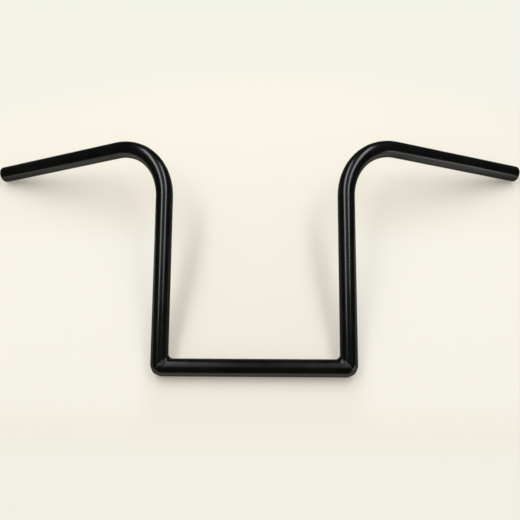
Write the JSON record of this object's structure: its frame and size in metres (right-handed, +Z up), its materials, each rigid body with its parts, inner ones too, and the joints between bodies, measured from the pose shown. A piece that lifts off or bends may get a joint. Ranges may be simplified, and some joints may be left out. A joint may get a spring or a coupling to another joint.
{
  "type": "motorcycle handlebar",
  "caption": "Tall Z-shaped steel tube handlebar: straight clamp tube, mitred and welded risers, long bends and pulled-back grips with open ends, finished in gloss black.",
  "frame": {"origin": "centre of the clamp tube, on its axis", "axes": "the bar lies as it rests on a floor: +X along the clamp tube to the right as the picture shows it, +Y from the clamp tube towards the bends, +Z up. Left and right in names are as the picture shows them, with the bar's front upwards"},
  "size_m": [0.8738, 0.3679, 0.1232],
  "materials": {
    "tube_finish": "gloss black coat on steel tube",
    "weld_finish": "gloss black coat on dressed weld"
  },
  "bodies": {
    "root": {"base_tube": "tube_finish", "left_riser": "tube_finish", "right_riser": "tube_finish", "left_weld": "weld_finish", "right_weld": "weld_finish"}
  },
  "joints": []
}
